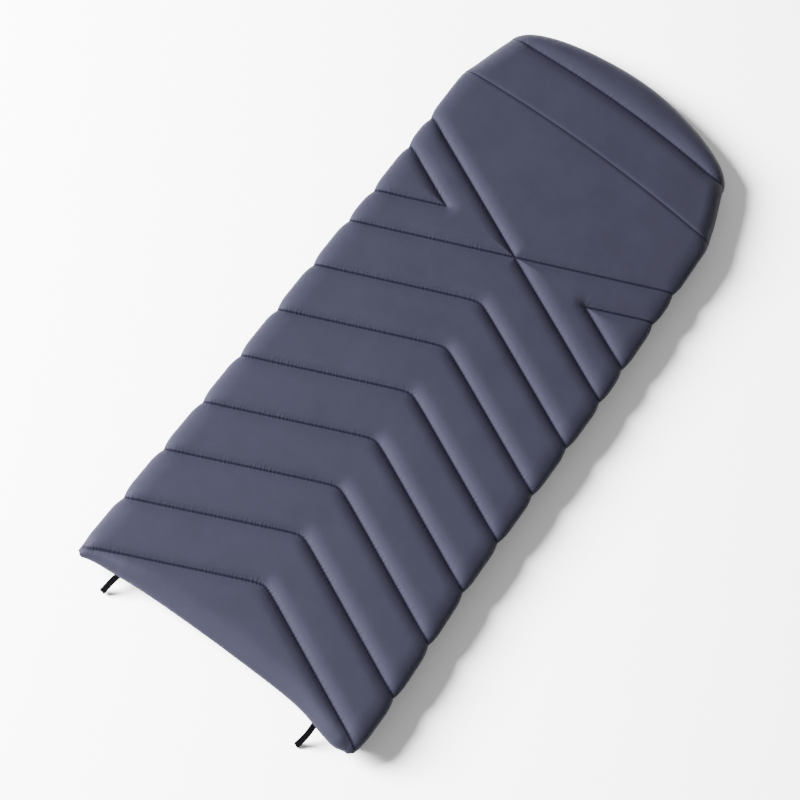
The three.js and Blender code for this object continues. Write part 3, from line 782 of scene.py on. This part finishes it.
def build_foot_binding():
    """A woven tape that stands along the foot seam and closes it."""
    steps = np.linspace(-FOOT_TAPE_REACH, FOOT_TAPE_REACH, FOOT_TAPE_STEPS)
    inset, middle_z = FRONT_FOOT_INSET + FOOT_TAPE_INSET, BACK_LOW_Z - FOOT_TAPE_HEIGHT / 2
    path = [np.array([x, foot_edge(x) + inset, middle_z]) for x in steps]
    ring = oval(FOOT_TAPE_THICKNESS, FOOT_TAPE_HEIGHT, BAND_POINTS, FOOT_TAPE_SQUARENESS)
    section = [ring] * len(steps)
    bm = bmesh.new()
    sweep(bm, path, [Y_DIR] * len(steps), [Z_DIR] * len(steps), section)
    return finish_swept(bm, "foot_seam_tape", "front_half", "webbing", "foot_binding")


# ---- hang loops ------------------------------------------------------------------------------

LOOP_TILT = {"left": -13.0, "right": 4.0}  # degrees that each loop lies round from straight out
LOOP_BEND = {"left": 2.0, "right": -26.0}  # degrees that it curls sideways over its length
LOOP_TUCK = {"left": 0.012, "right": -0.002}  # how far inside the foot seam it starts
LOOP_SLACK = {"left": 0.0, "right": 0.01}  # how much longer it is than its straight reach
LOOP_WIDTH = 0.0168
LOOP_THICKNESS = 0.0013
LOOP_SQUARENESS = 0.45
LOOP_GAP = 0.0022  # from the middle to each of its two legs
LOOP_LEG_OFFSET = 0.0007  # the lower leg lies this much further down
LOOP_END_GAP = 0.004
LOOP_DROP = math.radians(37)
LOOP_DROP_START, LOOP_DROP_GAIN = 0.35, 0.9  # shares of the droop at the seam, and added beyond it
LOOP_DROP_RUN = 0.55  # over this share of its length
LOOP_BEND_POWER = 1.3
LOOP_STEPS = 26
LOOP_SEWN_STEPS = 6  # steps over which the two legs part
LOOP_END_POINTS = 9  # round its eye


def build_hang_loop(word):
    """A doubled webbing tape, sewn in at the foot seam and drooping to the floor."""
    node = f"hang_loop_{word}"
    low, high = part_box(node)
    root = np.array([(low[0] + high[0]) / 2, high[1] + LOOP_TUCK[word], SPLIT_Z])
    length = (high[1] - low[1]) / math.cos(LOOP_DROP) - LOOP_END_GAP + LOOP_SLACK[word]
    tilt, bend = math.radians(LOOP_TILT[word]), math.radians(LOOP_BEND[word])
    spine, headings = [root], []
    step = length / LOOP_STEPS
    for share in np.arange(LOOP_STEPS + 1) / LOOP_STEPS:
        angle = tilt + bend * share ** LOOP_BEND_POWER
        gain = LOOP_DROP_GAIN * smoothstep(0, LOOP_DROP_RUN, share)
        drop = LOOP_DROP * (LOOP_DROP_START + gain)
        flat = np.array([math.sin(angle), -math.cos(angle), 0])
        heading = flat * math.cos(drop) - Z_DIR * math.sin(drop)
        headings.append((heading, np.cross(heading, np.cross(flat, Z_DIR))))
        spine.append(spine[-1] + heading * step)
    spine = spine[:-1]
    spreads = LOOP_GAP * dome(np.arange(LOOP_STEPS + 1) / LOOP_SEWN_STEPS)
    path, ups = [], []
    for place, (_, over), spread in zip(spine, headings, spreads):
        over = over / np.linalg.norm(over) * (1 if over[2] > 0 else -1)
        path.append(place + over * spread)
        ups.append(over)
    heading, over = headings[-1][0], ups[-1]
    for turn in np.linspace(0, math.pi, LOOP_END_POINTS)[1:-1]:
        outward = over * math.cos(turn) + heading * math.sin(turn)
        path.append(spine[-1] + LOOP_GAP * outward)
        ups.append(outward)
    for k in range(LOOP_STEPS, -1, -1):
        path.append(spine[k] - ups[k] * (spreads[k] + LOOP_LEG_OFFSET))
        ups.append(-ups[k])
    path, ups = np.array(path), np.array(ups)
    tangent = np.gradient(path, axis=0)
    sides = np.cross(tangent, ups)
    sides = sides / np.linalg.norm(sides, axis=1, keepdims=True)
    section = [oval(LOOP_WIDTH, LOOP_THICKNESS, BAND_POINTS, LOOP_SQUARENESS)] * len(path)
    bm = bmesh.new()
    sweep(bm, path, sides, ups, section)
    return finish_swept(bm, f"loop_{word}", node, "webbing", node)


# ---- zip -------------------------------------------------------------------------------------

COIL_STEP = 0.003  # one turn of the coil
COIL_SHARE = 0.62  # share of a turn that its nylon fills
COIL_BEVEL = 0.0007


def build_coil(node):
    """One half of a nylon coil zip: a row of small loops along the tape's edge."""
    middle, size = node_frame(node)
    bm = bmesh.new()
    bmesh.ops.create_cube(bm, size=1)
    bmesh.ops.scale(bm, vec=(size[0], COIL_STEP * COIL_SHARE, size[2]), verts=bm.verts)
    bmesh.ops.bevel(
        bm, geom=bm.edges[:], offset=COIL_BEVEL, segments=1, profile=0.5, affect="EDGES",
        material=-1,
    )
    first_y = middle[1] - size[1] / 2 + COIL_STEP / 2
    bmesh.ops.translate(bm, vec=(middle[0], first_y, middle[2]), verts=bm.verts)
    piece = finish_mesh(bm, node.replace("zip_coil", "coil_teeth"), smooth=False)
    array = piece.modifiers.new("row", "ARRAY")
    array.count = int(size[1] / COIL_STEP)
    array.use_relative_offset = False
    array.use_constant_offset = True
    array.constant_offset_displace = (0, COIL_STEP, 0)
    with bpy.context.temp_override(object=piece, active_object=piece):
        bpy.ops.object.modifier_apply(modifier=array.name)
    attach(piece, "front_half" if node.startswith("front") else "back_half")
    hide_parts(node)
    return piece


# ---- materials -------------------------------------------------------------------------------

SEAM_SHADE = (0.001, 0.0056)  # distances from a seam over which the shade painted into its crease, with its stitched line, fades
# the same for the thin neck seam's painted shade, and the share of the cloth's colour left at its
# middle
NECK_SEAM_SHADE = (0.0004, 0.0036)
NECK_SEAM_SHADE_TONE = 0.1
PUCKER_REACH = (0.002, 0.018)  # the puckers beside a seam die out over this distance
# Patterns, as repeats in a metre.
TONE_PATCHES = 9.0  # patches of slightly uneven tone, about 110 mm across
SLACK_FOLDS = 26.0  # soft folds of slack cloth, about 40 mm across
PUCKERS = (180.0, 40.0, 1.0)  # needle puckers 5 to 6 mm apart along the seam, 25 mm long
NYLON_TONES = 400.0  # changes of tone every 2.5 mm, one to each turn of the coil
RUBBED_SPOTS = 120.0  # rubbed spots about 8 mm apart
PILE_TUFTS = 900.0  # tufts of pile about 1 mm apart


def new_material(name, **values):
    """A material whose shader sockets hold the given values; names use _ for a space."""
    material = bpy.data.materials.new(name)
    material.use_nodes = True
    shader = material.node_tree.nodes["Principled BSDF"]
    for key, value in values.items():
        shader.inputs[key.replace("_", " ")].default_value = value
    return material, material.node_tree, shader


def woven_cloth(name, colour, seam_shade_colour, roughness, sheen, weave_unit, weave_depth):
    """A plain-weave cloth with shade painted into its sewn seams, and puckered beside them.

    A wave repeats every 0.314 of its unit, so a unit of 2.4 mm draws threads 0.75 mm apart.
    """
    material, tree, shader = new_material(
        name, Roughness=roughness, Sheen_Weight=sheen, Sheen_Roughness=0.45, Specular_IOR_Level=0.08
    )
    shader.inputs["Sheen Tint"].default_value = linear("#9a9ac8")
    shader.inputs["Specular Tint"].default_value = linear("#d8d8f8")
    seams = add_node(tree, "ShaderNodeAttribute", {"attribute_name": "seams"})
    parts = add_node(tree, "ShaderNodeSeparateXYZ", {}, {"Vector": seams.outputs["Vector"]})
    place = add_node(tree, "ShaderNodeTexCoord")
    # Painted shade: each seam's crease is darkened to nearly black, partly its stitched line and
    # partly the crease's shade painted into the cloth's colour.
    seam_shade = add_node(tree, "ShaderNodeMapRange", {"interpolation_type": "SMOOTHSTEP"}, {
        "Value": parts.outputs["X"], "From Min": SEAM_SHADE[0], "From Max": SEAM_SHADE[1],
    })
    neck_seam_shade = add_node(tree, "ShaderNodeMapRange", {"interpolation_type": "SMOOTHSTEP"}, {
        "Value": parts.outputs["Y"], "From Min": NECK_SEAM_SHADE[0], "From Max": NECK_SEAM_SHADE[1],
        "To Min": NECK_SEAM_SHADE_TONE, "To Max": 1.0,
    })
    seam_shade_mask = add_node(tree, "ShaderNodeMath", {"operation": "MULTIPLY"}, {
        0: seam_shade.outputs["Result"], 1: neck_seam_shade.outputs["Result"],
    })
    # Dye lots and handling leave the cloth a little uneven.
    uneven = add_node(tree, "ShaderNodeTexNoise", {}, {
        "Vector": place.outputs["Object"], "Scale": TONE_PATCHES, "Detail": 3.0,
    })
    tone = add_node(tree, "ShaderNodeMapRange", {}, {
        "Value": uneven.outputs["Fac"], "From Min": 0.3, "From Max": 0.7,
        "To Min": 0.94, "To Max": 1.06,
    })
    shade = add_node(tree, "ShaderNodeMix", {"data_type": "RGBA", "blend_type": "MULTIPLY"}, {
        "Factor": 1.0, "A": linear(colour), "B": tone.outputs["Result"],
    })
    # The painted seam shade is mixed into the cloth's colour here.
    dark = add_node(tree, "ShaderNodeMix", {"data_type": "RGBA"}, {
        "Factor": seam_shade_mask.outputs["Value"], "A": linear(seam_shade_colour), "B": shade.outputs["Result"],
    })
    tree.links.new(dark.outputs["Result"], shader.inputs["Base Color"])
    # Puckers: short folds across the seam that die out within a couple of centimetres.
    stretch = add_node(tree, "ShaderNodeCombineXYZ", {}, {
        "X": parts.outputs["Z"], "Y": parts.outputs["X"],
    })
    spread = add_node(tree, "ShaderNodeMapping", {}, {
        "Vector": stretch.outputs["Vector"], "Scale": PUCKERS,
    })
    folds = add_node(tree, "ShaderNodeTexNoise", {"noise_dimensions": "2D"}, {
        "Vector": spread.outputs["Vector"], "Scale": 1.0, "Detail": 2.0, "Roughness": 0.6,
    })
    near = add_node(tree, "ShaderNodeMapRange", {"interpolation_type": "SMOOTHSTEP"}, {
        "Value": parts.outputs["X"], "From Min": PUCKER_REACH[0], "From Max": PUCKER_REACH[1],
        "To Min": 1.0, "To Max": 0.0,
    })
    pucker = add_node(tree, "ShaderNodeMath", {"operation": "MULTIPLY"}, {
        0: folds.outputs["Fac"], 1: near.outputs["Result"],
    })
    fold_bump = add_node(tree, "ShaderNodeBump", {}, {
        "Height": pucker.outputs["Value"], "Strength": 0.65, "Distance": 0.0024,
    })
    # Soft slack in the cloth between the seams.
    slack = add_node(tree, "ShaderNodeTexNoise", {}, {
        "Vector": place.outputs["Object"], "Scale": SLACK_FOLDS, "Detail": 2.0,
    })
    slack_bump = add_node(tree, "ShaderNodeBump", {}, {
        "Height": slack.outputs["Fac"], "Strength": 0.25, "Distance": 0.0025,
        "Normal": fold_bump.outputs["Normal"],
    })
    warp, weft = (
        add_node(tree, "ShaderNodeTexWave", {"bands_direction": direction}, {
            "Vector": place.outputs["Object"], "Scale": 1 / weave_unit, "Distortion": 0.4,
        }) for direction in "XY"
    )
    threads = add_node(tree, "ShaderNodeMath", {"operation": "MULTIPLY"}, {
        0: warp.outputs["Fac"], 1: weft.outputs["Fac"],
    })
    weave_bump = add_node(tree, "ShaderNodeBump", {}, {
        "Height": threads.outputs["Value"], "Strength": 0.35, "Distance": weave_depth,
        "Normal": slack_bump.outputs["Normal"],
    })
    tree.links.new(weave_bump.outputs["Normal"], shader.inputs["Normal"])
    return material


def ribbed_tape(name, colour, rib_unit):
    """A narrow woven tape with ribs across it, every 0.63 of the unit."""
    material, tree, shader = new_material(name, Roughness=1.0, Specular_IOR_Level=0.02)
    place = add_node(tree, "ShaderNodeTexCoord")
    ribs = add_node(tree, "ShaderNodeTexWave", {"bands_direction": "Y"}, {
        "Vector": place.outputs["Object"], "Scale": 1 / (2 * rib_unit), "Distortion": 0.3,
    })
    tone = add_node(tree, "ShaderNodeMapRange", {}, {
        "Value": ribs.outputs["Fac"], "To Min": 0.7, "To Max": 1.15,
    })
    shade = add_node(tree, "ShaderNodeMix", {"data_type": "RGBA", "blend_type": "MULTIPLY"}, {
        "Factor": 1.0, "A": linear(colour), "B": tone.outputs["Result"],
    })
    tree.links.new(shade.outputs["Result"], shader.inputs["Base Color"])
    bump = add_node(tree, "ShaderNodeBump", {}, {
        "Height": ribs.outputs["Fac"], "Strength": 0.6, "Distance": 0.0003,
    })
    tree.links.new(bump.outputs["Normal"], shader.inputs["Normal"])
    return material


def coil_nylon():
    """Black nylon monofilament: smooth, slightly glossy."""
    material, tree, shader = new_material("nylon_monofilament", Roughness=0.38, IOR=1.53)
    place = add_node(tree, "ShaderNodeTexCoord")
    grain = add_node(tree, "ShaderNodeTexNoise", {}, {
        "Vector": place.outputs["Object"], "Scale": NYLON_TONES, "Detail": 1.0,
    })
    tone = add_node(tree, "ShaderNodeMix", {"data_type": "RGBA"}, {
        "Factor": grain.outputs["Fac"], "A": linear("#17171b"),
        "B": linear(options().coil_colour_hex),
    })
    tree.links.new(tone.outputs["Result"], shader.inputs["Base Color"])
    return material


def enamelled_zinc():
    """Die-cast zinc under dark enamel, rubbed brighter where the hand moves it."""
    material, tree, shader = new_material("enamelled_zinc", Roughness=0.35, Metallic=0.6)
    place = add_node(tree, "ShaderNodeTexCoord")
    wear = add_node(tree, "ShaderNodeTexNoise", {}, {
        "Vector": place.outputs["Object"], "Scale": RUBBED_SPOTS, "Detail": 4.0,
    })
    rubbed = add_node(tree, "ShaderNodeMapRange", {}, {
        "Value": wear.outputs["Fac"], "From Min": 0.55, "From Max": 0.75,
    })
    tone = add_node(tree, "ShaderNodeMix", {"data_type": "RGBA"}, {
        "Factor": rubbed.outputs["Result"], "A": linear("#2b2b30"), "B": linear("#55555c"),
    })
    tree.links.new(tone.outputs["Result"], shader.inputs["Base Color"])
    bump = add_node(tree, "ShaderNodeBump", {}, {
        "Height": wear.outputs["Fac"], "Strength": 0.2, "Distance": 0.0001,
    })
    tree.links.new(bump.outputs["Normal"], shader.inputs["Normal"])
    return material


def hook_and_loop():
    """Woven nylon hook-and-loop tape: a dense short pile."""
    material, tree, shader = new_material("hook_and_loop_nylon", Roughness=0.95, Sheen_Weight=0.05)
    place = add_node(tree, "ShaderNodeTexCoord")
    pile = add_node(tree, "ShaderNodeTexVoronoi", {}, {
        "Vector": place.outputs["Object"], "Scale": PILE_TUFTS,
    })
    tone = add_node(tree, "ShaderNodeMix", {"data_type": "RGBA"}, {
        "Factor": pile.outputs["Distance"], "A": linear("#08080a"), "B": linear("#18181c"),
    })
    tree.links.new(tone.outputs["Result"], shader.inputs["Base Color"])
    bump = add_node(tree, "ShaderNodeBump", {}, {
        "Height": pile.outputs["Distance"], "Strength": 0.8, "Distance": 0.0006,
    })
    tree.links.new(bump.outputs["Normal"], shader.inputs["Normal"])
    return material


def shared_material(name, make):
    return bpy.data.materials.get(name) or make()


def shell_cloth():
    # Dark slate polyester taffeta: a close plain weave that gives a soft satin light on its turns.
    # Its threads, about 0.1 mm apart, are too fine to show, so they are drawn 0.75 mm apart.
    # The nearly black second colour is the shade painted into the seams' creases, with their
    # stitched lines.
    return shared_material("polyester_taffeta", lambda: woven_cloth(
        "polyester_taffeta", options().shell_colour_hex, "#05050c", 0.62, 0.03, 0.0024, 0.0003))


def lining_cloth():
    # Dark brushed polyester pongee: softer and duller than the shell, its weave drawn 1 mm apart.
    # The nearly black second colour is the shade painted into its seams' creases, with their
    # stitched lines.
    return shared_material("polyester_pongee", lambda: woven_cloth(
        "polyester_pongee", options().lining_colour_hex, "#08080a", 0.8, 0.15, 0.0032, 0.0004))


def webbing_tape():
    # Black polypropylene webbing: matt, with cross ribs 1 mm apart.
    return shared_material("polypropylene_webbing", lambda: ribbed_tape(
        "polypropylene_webbing", options().webbing_colour_hex, 0.0016))


def zip_tape():
    # Knitted polyester zip tape: greyer than the webbing, with ribs 0.75 mm apart.
    return shared_material("knitted_zip_tape", lambda: ribbed_tape(
        "knitted_zip_tape", "#1a1a20", 0.0012))


def set_materials(piece, *materials):
    piece.data.materials.clear()
    for material in materials:
        piece.data.materials.append(material)


# ---- camera and stage ------------------------------------------------------------------------

CAMERA_AZIMUTH = 6.238
CAMERA_ELEVATION = 64.191
CAMERA_ROLL = 30.478
CAMERA_DISTANCE = 46.26  # in chevron pitches, like the two shifts
CAMERA_RIGHT = 0.087
CAMERA_UP = 0.235
CAMERA_TARGET = (0, FIRST_Y + 3.5 * PITCH, TOP_Z - 0.012)  # at the height of the seams
CAMERA_LENS = 135
SENSOR_WIDTH = 36
CAMERA_CLIP = (0.1, 100)
FLOOR_SIZE = 20
KEY_DIRECTION = (-0.89, -0.45)
KEY_ELEVATION = 30
KEY_DISTANCE = 9.0
KEY_SIZE = 4.4


def add_camera():
    azimuth, elevation, roll = map(math.radians, (CAMERA_AZIMUTH, CAMERA_ELEVATION, CAMERA_ROLL))
    back = Vector((
        math.sin(azimuth) * math.cos(elevation),
        -math.cos(azimuth) * math.cos(elevation),
        math.sin(elevation),
    ))
    right = Vector((0, 0, 1)).cross(back).normalized()
    up = back.cross(right)
    right, up = (
        math.cos(roll) * right + math.sin(roll) * up,
        -math.sin(roll) * right + math.cos(roll) * up,
    )
    offset = CAMERA_DISTANCE * back + CAMERA_RIGHT * right + CAMERA_UP * up
    place = Vector(CAMERA_TARGET) + PITCH * offset
    data = bpy.data.cameras.new("camera")
    data.lens = CAMERA_LENS
    data.sensor_width = SENSOR_WIDTH
    data.clip_start, data.clip_end = CAMERA_CLIP
    camera = bpy.data.objects.new("camera", data)
    bpy.context.scene.collection.objects.link(camera)
    turn = Matrix((right, up, back)).transposed()
    camera.matrix_world = Matrix.Translation(place) @ turn.to_4x4()
    bpy.context.scene.camera = camera


def add_stage():
    bm = bmesh.new()
    bmesh.ops.create_grid(bm, x_segments=1, y_segments=1, size=FLOOR_SIZE)
    floor = finish_mesh(bm, "floor", smooth=False)
    # Matt white studio paper.
    paper, _, _ = new_material("studio_paper", Base_Color=linear("#ffffff"), Roughness=0.9)
    floor.data.materials.append(paper)
    world = bpy.data.worlds.new("studio")
    bpy.context.scene.world = world
    world.use_nodes = True
    sky = world.node_tree.nodes["Background"]
    sky.inputs["Color"].default_value = (1, 1, 1, 1)
    sky.inputs["Strength"].default_value = options().sky_strength
    key = bpy.data.lights.new("key", "AREA")
    key.energy = options().key_power
    key.shape = "DISK"
    key.size = KEY_SIZE
    lamp = bpy.data.objects.new("key", key)
    bpy.context.scene.collection.objects.link(lamp)
    rise = math.radians(KEY_ELEVATION)
    flat = Vector((*KEY_DIRECTION, 0)).normalized() * math.cos(rise)
    lamp.location = KEY_DISTANCE * (flat + Vector((0, 0, math.sin(rise))))
    lamp.rotation_mode = "QUATERNION"
    lamp.rotation_quaternion = (-lamp.location).to_track_quat("-Z", "Y")


# ---- add-on ----------------------------------------------------------------------------------

class SleepingBagOptions(bpy.types.PropertyGroup):
    puff: FloatProperty(
        name="Puff", description="How far a full chamber stands over its seams",
        default=0.0135, min=0.0, max=0.02, subtype="DISTANCE", unit="LENGTH",
    )
    shoulder: FloatProperty(
        name="Shoulder", description="Distance from a seam to a chamber's full height",
        default=0.046, min=0.01, max=0.08, subtype="DISTANCE", unit="LENGTH",
    )
    shell_colour_hex: StringProperty(
        name="Shell", description="Colour of the outer cloth, as sRGB hex", default="#181820",
    )
    lining_colour_hex: StringProperty(
        name="Lining", description="Colour of the inner cloth, as sRGB hex", default="#16161b",
    )
    webbing_colour_hex: StringProperty(
        name="Webbing", description="Colour of the tapes, as sRGB hex", default="#030304",
    )
    coil_colour_hex: StringProperty(
        name="Zip coil", description="Colour of the zip's coil, as sRGB hex", default="#26262b",
    )
    sky_strength: FloatProperty(
        name="Sky", description="Strength of the even light from all round", default=0.5, min=0,
    )
    key_power: FloatProperty(
        name="Key", description="Power of the soft key light", default=12600, min=0, unit="POWER",
    )


class BackQuilt(bpy.types.Operator):
    """Builds the back half and hood as one quilted cover"""
    bl_idname = "sleeping_bag.back_quilt"
    bl_label = "Back quilt"

    def execute(self, context):
        set_materials(build_back(), shell_cloth(), lining_cloth())
        return {"FINISHED"}


class FrontQuilt(bpy.types.Operator):
    """Builds the front half and the cloth that joins it to the back"""
    bl_idname = "sleeping_bag.front_quilt"
    bl_label = "Front quilt"

    def execute(self, context):
        set_materials(build_front(), shell_cloth(), lining_cloth())
        set_materials(build_side_strip(), shell_cloth())
        set_materials(build_foot_binding(), webbing_tape())
        return {"FINISHED"}


class HoodRim(bpy.types.Operator):
    """Builds the padded rim round the face and its elastic edge"""
    bl_idname = "sleeping_bag.hood_rim"
    bl_label = "Hood rim"

    def execute(self, context):
        set_materials(build_hood_rim(), shell_cloth())
        set_materials(build_face_edge(), webbing_tape())
        return {"FINISHED"}


class DraughtStops(bpy.types.Operator):
    """Builds the stuffed tube behind the zip and the collar at the neck"""
    bl_idname = "sleeping_bag.draught_stops"
    bl_label = "Draught tube and collar"

    def execute(self, context):
        tube = build_tube("zip_baffle", "draught_tube", "back_half", Y_DIR, X_DIR, 9, 0.3)
        collar = build_tube("neck_baffle", "draught_collar", "back_half", X_DIR, Y_DIR, 5, 0.4)
        set_materials(tube, lining_cloth())
        set_materials(collar, lining_cloth())
        return {"FINISHED"}


class ZipFastener(bpy.types.Operator):
    """Builds the coils and finishes the tapes, stops, slider and pull"""
    bl_idname = "sleeping_bag.zip"
    bl_label = "Zip"

    def execute(self, context):
        coil = coil_nylon()
        for node in ("front_zip_coil", "back_zip_coil"):
            set_materials(build_coil(node), coil)
        for node in ("front_zip_tape", "back_zip_tape"):
            set_materials(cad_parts[node], zip_tape())
        metal = enamelled_zinc()
        stops = ("front_top_stop", "back_top_stop", "zip_bottom_stop")
        for node in (*stops, "zip_slider", "zip_pull"):
            set_materials(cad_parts[node], metal)
        return {"FINISHED"}


class Trims(bpy.types.Operator):
    """Builds the hang loops and finishes the chin tab and its patch"""
    bl_idname = "sleeping_bag.trims"
    bl_label = "Hang loops and chin tab"

    def execute(self, context):
        for word in ("left", "right"):
            set_materials(build_hang_loop(word), webbing_tape())
        pile = hook_and_loop()
        for node in ("chin_tab", "chin_tab_patch"):
            set_materials(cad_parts[node], pile)
        return {"FINISHED"}


class Stage(bpy.types.Operator):
    """Sets up the floor, the light and the camera"""
    bl_idname = "sleeping_bag.stage"
    bl_label = "Stage"

    def execute(self, context):
        add_camera()
        add_stage()
        return {"FINISHED"}


OPERATORS = (Stage, BackQuilt, FrontQuilt, HoodRim, DraughtStops, ZipFastener, Trims)


class SleepingBagPanel(bpy.types.Panel):
    bl_idname = "VIEW3D_PT_sleeping_bag"
    bl_label = "Sleeping Bag"
    bl_space_type = "VIEW_3D"
    bl_region_type = "UI"
    bl_category = "Sleeping Bag"

    def draw(self, context):
        for name in SleepingBagOptions.__annotations__:
            self.layout.prop(context.scene.sleeping_bag, name)
        for operator in OPERATORS:
            self.layout.operator(operator.bl_idname)


CLASSES = (SleepingBagOptions, *OPERATORS, SleepingBagPanel)


def register():
    for cls in CLASSES:
        bpy.utils.register_class(cls)
    bpy.types.Scene.sleeping_bag = PointerProperty(type=SleepingBagOptions)


def unregister():
    del bpy.types.Scene.sleeping_bag
    for cls in reversed(CLASSES):
        bpy.utils.unregister_class(cls)


def main():
    register()
    for operator in OPERATORS:
        group, name = operator.bl_idname.split(".")
        getattr(getattr(bpy.ops, group), name)()


if __name__ == "__main__":
    main()
